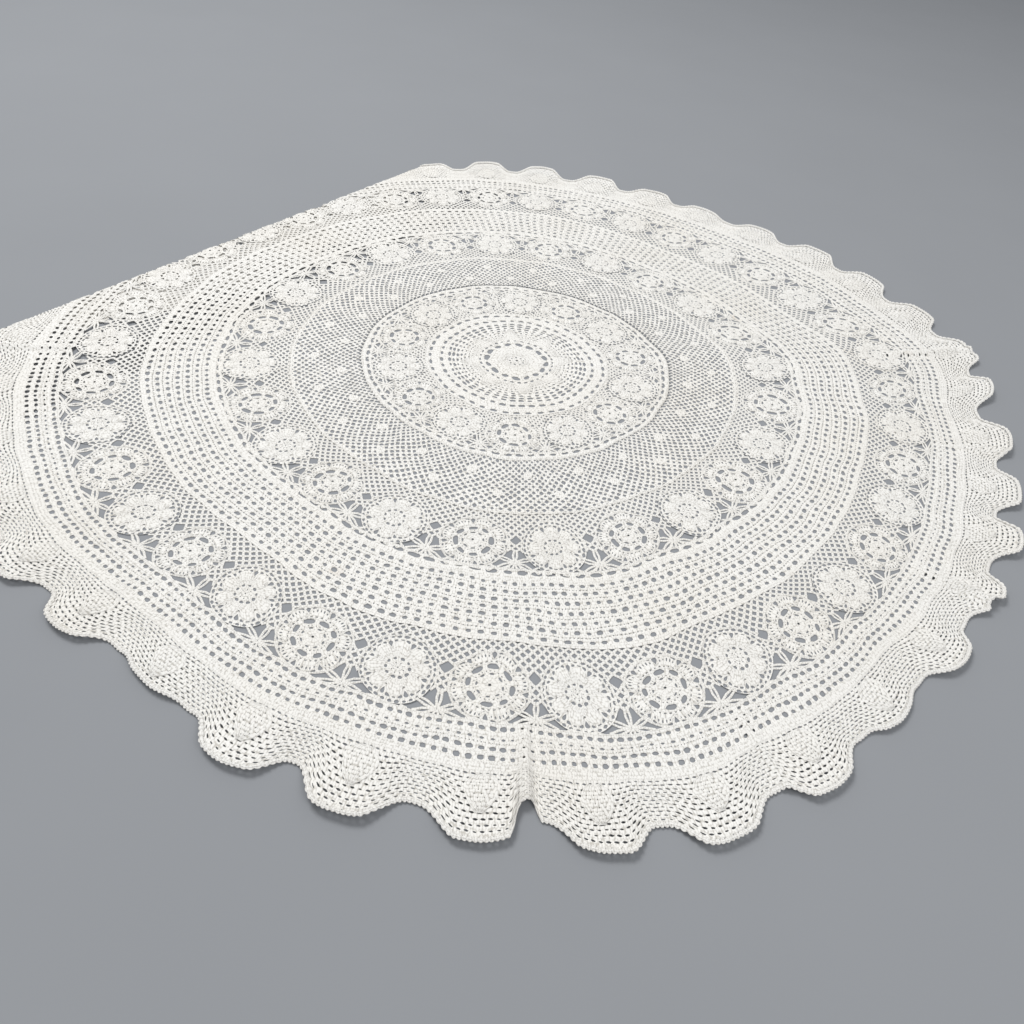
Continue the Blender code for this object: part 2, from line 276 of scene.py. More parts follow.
# ---- drawing with yarn -------------------------
class Stitch:
    """One repeat: its outline, the hole or the top inside it, and the heights between them.

    Points are in half-cell units, across and outward. A closed repeat ends in a middle point.
    """

    def __init__(self, outline, inside, heights, fractions=(0.0, 1.0), middle=None):
        self.outline = np.array(outline, float)
        self.inside = np.array(inside, float)
        self.heights = [np.broadcast_to(np.array(height, float), (len(outline),)) for height in heights]
        self.fractions = fractions
        self.middle = middle


def rounded(outline, width, depth, squareness=2.0):
    """An oval or a rounded square with one point for each point of the outline."""
    across, outward = np.array(outline, float).T
    angle = np.arctan2(outward, across)
    across, outward = np.cos(angle), np.sin(angle)
    size = np.abs(across / width) ** squareness + np.abs(outward / depth) ** squareness
    size = size ** (-1.0 / squareness)
    return np.stack((across * size, outward * size), -1)


WIDE = ((-1, -1), (-1 / 3, -1), (1 / 3, -1), (1, -1), (1, -1 / 3), (1, 1 / 3),
        (1, 1), (1 / 3, 1), (-1 / 3, 1), (-1, 1), (-1, 1 / 3), (-1, -1 / 3))
SQUARE = ((-1, -1), (0, -1), (1, -1), (1, 0), (1, 1), (0, 1), (-1, 1), (-1, 0))
NARROW = ((-1, -1), (1, -1), (1, 0), (1, 1), (-1, 1), (-1, 0))
DIAMOND = ((0, -1), (0.33, -0.67), (0.67, -0.33), (1, 0), (0.67, 0.33), (0.33, 0.67),
           (0, 1), (-0.33, 0.67), (-0.67, 0.33), (-1, 0), (-0.67, -0.33), (-0.33, -0.67))


def hole(width, depth, squareness=2.0, shoulder=0.45):
    """A repeat with a hole of this width and depth, as shares of the repeat."""
    inside = rounded(WIDE, width, depth, squareness)
    return Stitch(WIDE, inside, (EDGE, 0.92 * EDGE, LOW), (0.0, shoulder, 1.0))


def pin_hole(width, depth, squareness=2.0, outline=SQUARE):
    """A repeat with a hole too small to need a shoulder."""
    return Stitch(outline, rounded(outline, width, depth, squareness), (EDGE, LOW))


def post(top=STITCH):
    """One solid stitch: grooves at its sides, its crown in the middle."""
    edge = [EDGE, EDGE, GROOVE] * 2
    return Stitch(NARROW, NARROW, (edge,), (0.0,), middle=top)


class Lace:
    """Yarn drawn flat. Every corner of a face has x, y, height and two stitch coordinates."""

    def __init__(self):
        self.quads = []
        self.triangles = []
        self.cords = []

    def add(self, faces, kind="quads"):
        getattr(self, kind).append(faces.reshape(-1, faces.shape[-2], 5))

    def add_cells(self, place, columns, rows, stitch, stagger=0.0, half=(0.5, 0.5),
                  sizes=None, lift=None, keep=None, grain=(0.004, 0.004)):
        """Repeat a stitch over a grid. place turns columns and rows into x and y."""
        row, column = np.divmod(np.arange(columns * rows), columns)
        centre = np.stack((column + 0.5 + stagger * (row % 2), row + half[1]), -1)
        if keep is not None:
            centre = centre[keep(centre[:, 0], centre[:, 1])]
        chance = CHANCE.uniform(-1.0, 1.0, (len(centre), 1, 3))
        size = 1.0 + HOLE_VARIES * chance[..., :1]
        if sizes is not None:
            size = size * sizes(centre[:, 0], centre[:, 1])[:, None, None]
        warp = 1.0 + HOLE_WARPS * CHANCE.uniform(-1.0, 1.0, (len(centre), len(stitch.inside), 1))
        inside = stitch.inside * size * warp + HOLE_SHIFTS * chance[..., 1:]
        rings = []
        for fraction, height in zip(stitch.fractions, stitch.heights):
            local = stitch.outline + (inside - stitch.outline) * fraction
            rings.append(self.corners(place, centre[:, None] + local * half, height, lift, grain))
        for outer, inner in zip(rings, rings[1:]):
            self.add(np.stack((outer, np.roll(outer, -1, 1), np.roll(inner, -1, 1), inner), 2))
        if stitch.middle is not None:
            last = rings[-1]
            middle = self.corners(place, centre[:, None], stitch.middle, lift, grain)
            middle = np.broadcast_to(middle, last.shape)
            self.add(np.stack((last, np.roll(last, -1, 1), middle), 2), "triangles")

    def corners(self, place, grid, height, lift, grain):
        """Corners at grid places, with x, y, height and stitch coordinates."""
        x, y = place(grid[..., 0], grid[..., 1])
        height = np.broadcast_to(height, x.shape)
        if lift is not None:
            height = height + lift(grid[..., 0], grid[..., 1])
        return np.stack((x, y, height, grid[..., 0] * grain[0], grid[..., 1] * grain[1]), -1)

    def add_cords(self, points, width=CHAIN_WIDTH, top=EDGE):
        """Ridged cords through points, given as cords by stations by x and y."""
        points = np.asarray(points, float)
        along = np.gradient(points, axis=1)
        along /= np.linalg.norm(along, axis=-1, keepdims=True) + 1e-9
        side = np.stack((-along[..., 1], along[..., 0]), -1)
        steps = np.linalg.norm(np.diff(points, axis=1), axis=-1)
        length = np.concatenate((np.zeros((len(points), 1)), np.cumsum(steps, 1)), 1)
        lines = []
        for across, height in ((0.5, LOW), (0.0, top), (-0.5, LOW)):
            place = points + side * across * width
            heights = np.full_like(length, height)
            rest = np.stack((heights, np.full_like(length, across * width), length), -1)
            lines.append(np.concatenate((place, rest), -1))
        for left, right in zip(lines, lines[1:]):
            self.add(np.stack((left[:, :-1], left[:, 1:], right[:, 1:], right[:, :-1]), 2), "cords")

    def add_knots(self, places, size=0.0024, top=STITCH):
        """Low round knots of yarn, where chains meet."""
        angle = np.arange(6) * TAU / 6.0
        offsets = np.stack(on_circle(size, angle), -1)
        rim = np.zeros((len(places), 6, 5))
        rim[..., :2] = places[:, None] + offsets
        rim[..., 2] = 0.4 * top
        rim[..., 3:] = offsets
        crown = np.zeros_like(rim)
        crown[..., :2] = places[:, None]
        crown[..., 2] = top
        self.add(np.stack((rim, np.roll(rim, -1, 1), crown), 2), "triangles")

    def add_copies(self, other, centres, angles, scales=None):
        """Put another drawing at each centre, turned by its angle."""
        if scales is None:
            scales = np.ones(len(centres))
        for centre, angle, scale in zip(centres, angles, scales):
            ahead, aside = math.cos(angle) * scale, math.sin(angle) * scale
            turn = np.array(((ahead, aside), (-aside, ahead)))
            for kind in ("quads", "triangles", "cords"):
                for faces in getattr(other, kind):
                    copy = faces.copy()
                    copy[..., :2] = faces[..., :2] @ turn + centre
                    self.add(copy, kind)

    def build(self, name, materials):
        """Join the corners that meet, lay them on the model and make the piece."""
        faces = [face_up(np.concatenate(getattr(self, kind) or [np.zeros((0, sides, 5))]))
                 for kind, sides in (("quads", 4), ("triangles", 3), ("cords", 4))]
        corners = np.concatenate([group.reshape(-1, 5) for group in faces])
        keys = np.round(corners[:, :3] / WELD).astype(np.int64) + (1 << 20)
        keys = (keys[:, 0] << 42) + (keys[:, 1] << 21) + keys[:, 2]
        _keys, first, joined = np.unique(keys, return_index=True, return_inverse=True)
        x, y, height = corners[first, :3].T
        wander = hand_worked(x, y)
        places = lay(x + wander[:, 0], y + wander[:, 1], height)
        sides = np.repeat([4, 3, 4], [len(group) for group in faces])
        slots = np.repeat([0, 0, 1], [len(group) for group in faces])
        mesh = new_mesh(name, places, joined, sides, slots, corners[:, 3:])
        for material in materials:
            mesh.materials.append(material)
        piece = add_object(name, mesh)
        piece["cotton_area"] = float(sum(flat_area(group) for group in faces))
        return piece


def add_object(name, data):
    """A new object in the scene."""
    added = bpy.data.objects.new(name, data)
    bpy.context.scene.collection.objects.link(added)
    return added


def face_up(faces):
    """Turn faces over whose flat drawing runs clockwise."""
    one = faces[:, 1, :2] - faces[:, 0, :2]
    two = faces[:, 2, :2] - faces[:, 0, :2]
    clockwise = one[:, 0] * two[:, 1] - one[:, 1] * two[:, 0] < 0.0
    faces[clockwise] = faces[clockwise][:, ::-1]
    return faces


def flat_area(faces):
    """Area that faces cover on the drawing."""
    ahead = np.roll(faces, -1, 1)
    return 0.5 * np.abs((faces[..., 0] * ahead[..., 1] - faces[..., 1] * ahead[..., 0]).sum(1)).sum()


def new_mesh(name, places, joined, sides, slots, stitch_places):
    """A smooth mesh from its corners, the number of sides of each face and its material slots."""
    mesh = bpy.data.meshes.new(name)
    mesh.vertices.add(len(places))
    mesh.vertices.foreach_set("co", places.astype(np.float32).ravel())
    mesh.loops.add(len(joined))
    mesh.loops.foreach_set("vertex_index", joined.astype(np.int32).ravel())
    mesh.polygons.add(len(sides))
    starts = np.concatenate(([0], np.cumsum(sides)[:-1]))
    mesh.polygons.foreach_set("loop_start", starts.astype(np.int32))
    mesh.polygons.foreach_set("material_index", slots.astype(np.int32))
    layer = mesh.uv_layers.new(name="Stitches")
    layer.data.foreach_set("uv", stitch_places.astype(np.float32).ravel())
    mesh.update(calc_edges=True)
    mesh.validate()
    mesh.polygons.foreach_set("use_smooth", np.ones(len(mesh.polygons), bool))
    return mesh


def polar(inner, outer, columns, rows=1, first=0.0, unit=BAND_RADIUS):
    """Grid to x and y on a ring between two radii, which are shares of unit or functions in metres."""
    def place(column, row):
        azimuth = first + column * TAU / columns
        low = inner(azimuth) if callable(inner) else inner * unit
        high = outer(azimuth) if callable(outer) else outer * unit
        return on_circle(low + (high - low) * row / rows, azimuth)
    return place


def ring_cord(lace, radius, stations, width=0.0026, top=RAISED, first=0.0):
    """A cord right round a ring, at a radius in metres or a function of the azimuth."""
    azimuth = first + np.arange(stations + 1) * TAU / stations
    reach = radius(azimuth) if callable(radius) else radius
    lace.add_cords(np.stack(on_circle(reach, azimuth), -1)[None], width, top)


# ---- finishes ----------------------------------
COTTON = (0.868, 0.850, 0.810, 1.0)
# Painted shade: the colour that the grooves between stitches are darkened towards, where shade falls in
# them
GROOVE_PAINTED_SHADE = (0.480, 0.450, 0.395, 1.0)
COTTON_AGED = (0.805, 0.757, 0.675, 1.0)
STAIN = (0.560, 0.400, 0.250, 1.0)


def add_node(tree, kind, inputs=None, **settings):
    """One shader node with its settings; inputs holds constants and sockets to link."""
    node = tree.nodes.new(kind)
    for name, value in settings.items():
        setattr(node, name, value)
    for name, value in (inputs or {}).items():
        if isinstance(value, bpy.types.NodeSocket):
            tree.links.new(value, node.inputs[name])
        else:
            node.inputs[name].default_value = value
    return node


def mixed(tree, factor, first, second, blend="MIX"):
    """Mix two colours, given as sockets or as constants."""
    node = tree.nodes.new("ShaderNodeMix")
    node.data_type = "RGBA"
    node.blend_type = blend
    for number, value in ((0, factor), (6, first), (7, second)):
        socket = node.inputs[number]
        if isinstance(value, bpy.types.NodeSocket):
            tree.links.new(value, socket)
        else:
            socket.default_value = value
    return node.outputs[2]


def ramped(tree, value, low, high, to_low=0.0, to_high=1.0):
    """Map a value between two limits on to two others."""
    node = add_node(tree, "ShaderNodeMapRange", {"Value": value, "From Min": low, "From Max": high,
                                                 "To Min": to_low, "To Max": to_high})
    return node.outputs["Result"]


def noise(tree, places, scale, detail):
    """Soft noise from 0 to 1."""
    inputs = {"Vector": places, "Scale": scale, "Detail": detail}
    return add_node(tree, "ShaderNodeTexNoise", inputs).outputs["Fac"]


def make_cotton(name, stitch_width, stitch_length, depth, uneven):
    """Cotton yarn: stitches with grooves between them, painted shade in the grooves, fine plies, slight
    ageing and faint stains.
    """
    material = bpy.data.materials.new(name)
    material.use_nodes = True
    material.diffuse_color = COTTON
    tree = material.node_tree
    shader = tree.nodes["Principled BSDF"]
    stitches = add_node(tree, "ShaderNodeUVMap", uv_map="Stitches").outputs["UV"]
    places = add_node(tree, "ShaderNodeTexCoord").outputs["Object"]
    scaled = add_node(tree, "ShaderNodeMapping", {
        "Vector": stitches, "Scale": (1.0 / stitch_width, 1.0 / stitch_length, 1.0)}).outputs["Vector"]
    knots = add_node(tree, "ShaderNodeTexVoronoi", {
        "Vector": scaled, "Scale": 1.0, "Randomness": uneven}, voronoi_dimensions="2D").outputs["Distance"]
    groove = ramped(tree, knots, 0.38, 0.72)
    plies = add_node(tree, "ShaderNodeTexWave", {
        "Vector": scaled, "Scale": 1.3, "Distortion": 2.5, "Detail": 2.0, "Detail Scale": 1.4},
        bands_direction="DIAGONAL").outputs["Fac"]
    fibres = noise(tree, places, 1400.0, 2.0)
    ageing = noise(tree, places, 5.0, 3.0)
    spots = add_node(tree, "ShaderNodeTexVoronoi", {
        "Vector": places, "Scale": 4.6, "Randomness": 1.0}).outputs["Distance"]
    broken = noise(tree, places, 60.0, 2.0)

    colour = mixed(tree, ramped(tree, ageing, 0.45, 0.80, 0.0, 0.45), COTTON, COTTON_AGED)
    stained = ramped(tree, spots, 0.085, 0.02)
    stained = add_node(tree, "ShaderNodeMath", {0: stained, 1: ramped(tree, broken, 0.45, 0.7, 0.0, 0.35)},
                       operation="MULTIPLY").outputs[0]
    colour = mixed(tree, stained, colour, STAIN)
    # Painted shade: the grooves between stitches are coloured darker, up to three quarters of the way to
    # the shade colour
    colour = mixed(tree, ramped(tree, groove, 0.0, 1.0, 0.0, 0.75), colour, GROOVE_PAINTED_SHADE)
    tree.links.new(colour, shader.inputs["Base Color"])
    tree.links.new(ramped(tree, fibres, 0.3, 0.7, 0.80, 0.92), shader.inputs["Roughness"])

    deep = add_node(tree, "ShaderNodeBump", {
        "Height": groove, "Strength": 0.75, "Distance": depth}, invert=True).outputs["Normal"]
    fine = add_node(tree, "ShaderNodeBump", {
        "Height": plies, "Strength": 0.45, "Distance": depth * 0.35, "Normal": deep}).outputs["Normal"]
    finest = add_node(tree, "ShaderNodeBump", {
        "Height": fibres, "Strength": 0.25, "Distance": depth * 0.12, "Normal": fine}).outputs["Normal"]
    tree.links.new(finest, shader.inputs["Normal"])
    for socket, value in (("Metallic", 0.0), ("Specular IOR Level", 0.30),
                          ("Sheen Weight", 0.12), ("Sheen Roughness", 0.55)):
        shader.inputs[socket].default_value = value
    return material


# ---- motifs ------------------------------------
PETALS = 8


def add_ring(lace, inner, outer, columns, rows, stitch, first=0.0, unit=BAND_RADIUS, **more):
    """Repeat a stitch round a ring. Radii are shares of unit, or functions of the azimuth in metres."""
    low = inner(0.0) if callable(inner) else inner * unit
    high = outer(0.0) if callable(outer) else outer * unit
    grain = (TAU / columns * (low + high) / 2.0, (high - low) / rows)
    place = polar(inner, outer, columns, rows, first, unit)
    lace.add_cells(place, columns, rows, stitch, grain=grain, **more)


def add_rings(lace, rings, first=0.0, unit=BAND_RADIUS):
    """One row of stitches for each inner and outer radius, number of columns and stitch."""
    for inner, outer, columns, stitch in rings:
        add_ring(lace, inner, outer, columns, 1, stitch, first=first, unit=unit)


def add_ring_cords(lace, cords, unit=BAND_RADIUS):
    """A cord round each radius, with its stations, its width and how far its top is above EDGE."""
    for radius, stations, width, above in cords:
        ring_cord(lace, radius if callable(radius) else radius * unit, stations, width, EDGE + above)


def draw_flower(radius):
    """A motif of eight solid petals round a ring of small holes, with a lacy edging."""
    lace = Lace()
    ribs = 6
    first = TAU / PETALS / 2.0 - (ribs - 0.5) * TAU / (PETALS * ribs)

    def petal_edge(azimuth):
        return radius * (0.60 + 0.21 * np.abs(np.cos(azimuth * PETALS / 2.0)) ** 0.7)

    def dome(_column, row):
        return 0.0004 * np.sin(np.clip(row / 3.0, 0.0, 1.0) * math.pi)

    def is_petal(column, row):
        return (np.floor(column) % ribs != ribs - 1) | (row < 2.0)

    def is_gap(column, row):
        return ~is_petal(column, row)

    add_rings(lace, (
        (0.02, 0.12, PETALS, post(RAISED)),
        (0.12, 0.20, PETALS, pin_hole(0.26, 0.40)),
        (0.20, 0.24, 24, post()),
        (0.24, 0.36, 10, pin_hole(0.58, 0.68)),
    ), unit=radius)
    for stitch, keep in ((post(RAISED), is_petal), (pin_hole(0.68, 0.68), is_gap)):
        add_ring(lace, 0.36, petal_edge, PETALS * ribs, 3, stitch, first, radius, lift=dome, keep=keep)
    add_ring(lace, petal_edge, 0.88, 32, 1, pin_hole(0.68, 0.62), first=-TAU / 64, unit=radius)
    add_ring(lace, 0.88, 1.01, 32, 1, pin_hole(0.68, 0.62), unit=radius)
    add_ring_cords(lace, (
        (0.20, 24, 0.0018, 0.0003),
        (0.36, 40, 0.0018, 0.0002),
        (petal_edge, 64, 0.0020, 0.0002),
        (0.88, 56, 0.0022, 0.0002),
    ), radius)
    return lace


def draw_shells(radius):
    """A motif of eight combed shells round eight long holes and a solid middle."""
    lace = Lace()
    ribs = 7 * PETALS
    half = TAU / PETALS / 2.0

    def shell_edge(azimuth):
        return radius * (0.71 + 0.22 * np.abs(np.sin(azimuth * PETALS / 2.0)) ** 0.6)

    def comb_foot(azimuth):
        return 0.69 * radius + 0.42 * (shell_edge(azimuth) - 0.69 * radius)

    add_ring(lace, 0.035, 0.20, 12, 2, post(RAISED), unit=radius)
    add_ring(lace, 0.20, 0.26, 24, 1, post(), unit=radius)
    add_ring(lace, 0.26, 0.35, PETALS, 1, pin_hole(0.50, 0.68), first=-half, unit=radius)
    add_ring(lace, 0.35, 0.42, 24, 1, pin_hole(0.36, 0.36), unit=radius)
    add_ring(lace, 0.42, 0.62, PETALS, 1, hole(0.68, 0.70, 2.4), first=-half, unit=radius)
    add_rings(lace, (
        (0.62, 0.69, 32, pin_hole(0.50, 0.46)),
        (0.69, comb_foot, ribs, post()),
        (comb_foot, shell_edge, ribs, pin_hole(0.36, 0.62, 3.0)),
    ), unit=radius)
    add_ring(lace, shell_edge, 0.97, 32, 1, pin_hole(0.70, 0.68), first=-TAU / 64, unit=radius)
    add_ring_cords(lace, (
        (0.20, 24, 0.0020, RAISED - EDGE),
        (0.35, 36, 0.0018, 0.0003),
        (0.42, 40, 0.0022, 0.0003),
        (0.62, 48, 0.0024, 0.0005),
        (shell_edge, 64, 0.0020, 0.0003),
        (0.98, 56, 0.0028, 0.0002),
    ), radius)
    return lace


def around(share, count, first):
    """Centres spaced evenly round the cloth, and their azimuths."""
    azimuths = first + np.arange(count) * TAU / count
    return np.stack(on_circle(share * BAND_RADIUS, azimuths), -1), azimuths


def add_motifs(lace, share, count, first, radius):
    """Flowers and shells in turn, each turned a little differently."""
    centres, azimuths = around(share, count, first)
    scales = 1.0 + CHANCE.uniform(-0.03, 0.03, count)
    turns = azimuths + CHANCE.uniform(-0.25, 0.25, count)
    for start, drawing in ((0, draw_flower(radius)), (1, draw_shells(radius * 1.03))):
        lace.add_copies(drawing, centres[start::2], turns[start::2], scales[start::2])
    return centres


def add_filling(lace, inner, outer, columns, rows, first, motifs, radius, is_open, width=CHAIN_WIDTH):
    """A net of single chains with a knot at every crossing, pushed out from under the motifs.

    is_open says where it is left out, by share and by distance from a join of motifs, as a share.
    """
    row, column = np.meshgrid(np.arange(rows + 1), np.arange(columns), indexing="ij")
    azimuth = first + (column + 0.5 * (row % 2)) * TAU / columns
    share = inner + (outer - inner) * row / rows
    nodes = np.stack(on_circle(share * BAND_RADIUS, azimuth), -1)
    nodes += CHANCE.uniform(-0.0008, 0.0008, nodes.shape)
    away = nodes[:, :, None] - motifs
    distance = np.linalg.norm(away, axis=-1)
    nearest = distance.argmin(-1)
    distance = np.take_along_axis(distance, nearest[..., None], -1)
    away = np.take_along_axis(away, nearest[..., None, None], 2)[:, :, 0]
    covered = distance[..., 0] < radius
    nodes = np.where(covered[..., None], motifs[nearest] + away / distance * radius, nodes)
    half_pitch = math.pi / len(motifs)
    aside = np.abs((azimuth - first) % (2.0 * half_pitch) - half_pitch) * share
    left_out = is_open(share, aside)
    free = ~covered & ~left_out
    cords = []
    for step in (0, 1):
        above = (column[:-1] + row[:-1] % 2 - step) % columns
        ends = nodes[:-1], nodes[1:][row[:-1], above]
        wanted = free[:-1] | free[1:][row[:-1], above]
        wanted &= ~left_out[:-1] & ~left_out[1:][row[:-1], above]
        cords.append(np.stack(ends, 2)[wanted])
    lace.add_cords(np.concatenate(cords), width)
    lace.add_knots(nodes[free], width * 0.65)


def draw_join(ends):
    """The spider of double chains between two motifs. Ends are shares outward and to both sides."""
    lace = Lace()
    knot, width, top = 0.0046, 0.0033, 0.0021
    apart = (0.0010, 0.0024, 0.0018)     # half of what parts two chains at their start, middle, end
    add_ring(lace, 0.10, 1.0, 8, 1, post(RAISED), unit=knot)
    for outward, aside in ends:
        for side in ((-1.0, 1.0) if aside else (1.0,)):
            end = np.array((outward, side * aside)) * BAND_RADIUS
            way = end / np.linalg.norm(end)
            across = np.array((-way[1], way[0]))
            for offset in (-1.0, 1.0):
                start = way * knot * 0.7 + across * offset * apart[0]
                middle = (start + end) / 2.0 + across * offset * apart[1]
                lace.add_cords([(start, middle, end + across * offset * apart[2])], width, top)
    return lace


# ---- sections ----------------------------------
LEAVES = 8
FIRST_LEAF = math.radians(-168.0)
INNER_MOTIFS = 14
MIDDLE_MOTIFS = 24
SPOTS = 22
FILET_COLUMNS = 228
FILET_LEAN = 0.0022          # turn from one row to the next
BORDER_COLUMNS = 380
RUFFLE_COLUMNS = 16 * SCALLOPS
RUFFLE_ROWS = 12
RUFFLE_EDGE = 1.097          # between its scallops' valleys and crests
# For each motif ring, as shares: where its spiders sit, how far their chains reach outward and
# to both sides, and how far round them the net is left out
SPIDER_OVAL = 0.8            # the inner two rings leave it out in ovals, this deep for their width
INNER_SPIDER = 0.3135
INNER_CHAINS = ((0.0140, 0.000), (0.0135, 0.020), (-0.006, 0.026), (-0.024, 0.010))
INNER_CLEAR = 0.021
MIDDLE_SPIDER = 0.6200
MIDDLE_CHAINS = ((0.0155, 0.010), (0.0155, 0.032), (-0.012, 0.030), (-0.030, 0.000))
MIDDLE_CLEAR = 0.030
OUTER_SPIDER = 0.9260
OUTER_CHAINS = ((0.0108, 0.011), (0.0108, 0.037), (-0.013, 0.033), (-0.034, 0.000))
OUTER_CLEAR = 0.040
OUTER_CLEAR_FROM = 0.903
# The larger hole that the net leaves on the inner side of each join
MIDDLE_GAP = 0.5590
MIDDLE_GAP_REACH = 0.0050
OUTER_GAP = 0.8550
OUTER_GAP_REACH = 0.0055
# The spotted net's spots: share and turn of each row, then size and height of their two knots
SPOT_ROWS = ((0.446, 0), (0.391, 1))
SPOT_KNOTS = ((0.0086, 0.0029), (0.0056, 0.0034))
FIRST_SPOT = math.radians(-173.2)


def draw_medallion():
    """A rosette, a ring of long slots, eight leaves with fans between them, and a row of ovals."""
    lace = Lace()
    leaf_foot, fan_edge, rows, leaf_rows = 0.088, 0.159, 8, 5
    leaf_tip = leaf_foot + (fan_edge - leaf_foot) * leaf_rows / rows

    def rosette_edge(azimuth):
        return BAND_RADIUS * (0.053 + 0.006 * np.abs(np.cos((azimuth - FIRST_LEAF) * LEAVES / 2.0)))

    def leaf_half(share):
        """Half of a leaf's angle at a radius."""
        along = np.clip((leaf_tip - share) / (leaf_tip - 0.096), 0.0, 1.0)
        return (0.0205 * along ** 0.75 * smooth((share - 0.070) / 0.026) + 0.0004 * (along > 0.0)) / share

    def share_at(row):
        return leaf_foot + (fan_edge - leaf_foot) * row / rows

    def leaf_place(column, row):
        azimuth = (column / 5.0 - 0.5) * 2.0 * leaf_half(share_at(row))
        return on_circle(share_at(row) * BAND_RADIUS, azimuth)

    def fan_place(column, row):
        half = math.pi / LEAVES - leaf_half(share_at(row))
        azimuth = math.pi / LEAVES + (column / 3.0 - 1.0) * half
        return on_circle(share_at(row) * BAND_RADIUS, azimuth)

    def leaf_dome(column, row):
        across = np.sin(np.clip(column / 5.0, 0.0, 1.0) * math.pi)
        return 0.0010 * across * np.sin(np.clip(row / leaf_rows, 0.0, 1.0) * math.pi)

    add_ring(lace, 0.0030, 0.0105, 9, 1, post(RAISED))
    add_ring(lace, 0.0105, 0.0210, 9, 1, pin_hole(0.40, 0.42))
    add_ring(lace, 0.0210, rosette_edge, 64, 4, post(RAISED), first=FIRST_LEAF,
             lift=lambda _column, row: 0.0008 * np.sin(np.clip(row / 4.0, 0.0, 1.0) * math.pi))
    add_ring(lace, rosette_edge, 0.0765, 16, 1, hole(0.66, 0.52, 2.4), first=FIRST_LEAF)
    add_ring(lace, 0.0765, leaf_foot, 32, 1, pin_hole(0.54, 0.42), first=FIRST_LEAF)
    pair = Lace()
    pair.add_cells(leaf_place, 5, leaf_rows, post(RAISED), grain=(0.006, 0.0068), lift=leaf_dome)
    pair.add_cells(fan_place, 6, rows, pin_hole(0.60, 0.60), grain=(0.008, 0.0068),
                   sizes=lambda _column, row: 0.36 + 0.74 * smooth(row / 7.5))
    lace.add_copies(pair, np.zeros((LEAVES, 2)), FIRST_LEAF + np.arange(LEAVES) * TAU / LEAVES)
    add_rings(lace, (
        (fan_edge, 0.1655, 144, post()),
        (0.1655, 0.1780, 48, hole(0.60, 0.56)),
        (0.1780, MEDALLION_EDGE, 144, post()),
    ), FIRST_LEAF)
    for share, stations in ((0.0765, 96), (leaf_foot, 96), (0.1620, 144), (0.1830, 144)):
        ring_cord(lace, share * BAND_RADIUS, stations, 0.0024, EDGE + 0.0006)
    return lace


def draw_inner_motifs():
    """A row of ovals, fourteen motifs in a net, and a closing row."""
    lace = Lace()
    first = math.radians(-164.6)
    radius = 0.0575 * BAND_RADIUS

    def is_open(share, aside):
        return np.hypot((share - INNER_SPIDER) / SPIDER_OVAL, aside) < INNER_CLEAR

    add_rings(lace, (
        (MEDALLION_EDGE, 0.1905, 144, post()),
        (0.1905, 0.2030, 48, hole(0.56, 0.54)),
        (0.2030, 0.2070, 144, post()),
    ), first)
    centres = add_motifs(lace, 0.2680, INNER_MOTIFS, first, radius)
    add_filling(lace, 0.2050, 0.3300, 8 * INNER_MOTIFS, 20, first, centres, radius, is_open, 0.0039)
    joins = around(INNER_SPIDER, INNER_MOTIFS, first + math.pi / INNER_MOTIFS)
    lace.add_copies(draw_join(INNER_CHAINS), *joins)
    add_rings(lace, (
        (0.3275, 0.3395, 6 * INNER_MOTIFS, hole(0.66, 0.54)),
        (0.3395, INNER_MOTIFS_EDGE, 18 * INNER_MOTIFS, post()),
    ), first)
    ring_cord(lace, 0.3275 * BAND_RADIUS, 252, 0.0030)
    return lace


def draw_spotted_net():
    """A diamond net with two rows of small solid spots."""
    lace = Lace()
    columns, rows = 176, 19
    net = Stitch(DIAMOND, rounded(DIAMOND, 0.50, 0.50, 1.35), (EDGE, LOW))
    inner, outer = INNER_MOTIFS_EDGE, SPOTTED_NET_EDGE
    add_ring(lace, inner, outer, columns, rows, net, half=(0.5, 1.0), stagger=0.5,
             lift=lambda _column, row: -0.0005 * np.clip(row - rows + 1.0, 0.0, 1.0))
    for share, shift in SPOT_ROWS:
        centres, _azimuths = around(share, SPOTS, FIRST_SPOT + shift * math.pi / SPOTS)
        for size, top in SPOT_KNOTS:
            lace.add_knots(centres, size, top)
    for share in (inner, outer):
        ring_cord(lace, share * BAND_RADIUS, 352, 0.0036, EDGE + 0.0002)
    return lace


def draw_middle_motifs():
    """Twenty-four motifs in a net, with spiders at the joins and a row of ovals outside."""
    lace = Lace()
    first = math.radians(-169.4)
    radius = 0.0625 * BAND_RADIUS

    def is_open(share, aside):
        near_spider = np.hypot((share - MIDDLE_SPIDER) / SPIDER_OVAL, aside) < MIDDLE_CLEAR
        return near_spider | (np.hypot(share - MIDDLE_GAP, aside) < MIDDLE_GAP_REACH)

    add_ring(lace, SPOTTED_NET_EDGE, 0.5005, 216, 1, pin_hole(0.50, 0.45), first=first)
    centres = add_motifs(lace, 0.5785, MIDDLE_MOTIFS, first, radius)
    add_filling(lace, 0.4990, 0.6410, 9 * MIDDLE_MOTIFS, 20, first, centres, radius, is_open)
    joins = around(MIDDLE_SPIDER, MIDDLE_MOTIFS, first + math.pi / MIDDLE_MOTIFS)
    lace.add_copies(draw_join(MIDDLE_CHAINS), *joins)
    add_rings(lace, (
        (0.6360, 0.6490, 6 * MIDDLE_MOTIFS, hole(0.70, 0.62)),
        (0.6490, MIDDLE_MOTIFS_EDGE, 18 * MIDDLE_MOTIFS, post()),
    ), first)
    ring_cord(lace, 0.6360 * BAND_RADIUS, 480, 0.0030)
    return lace


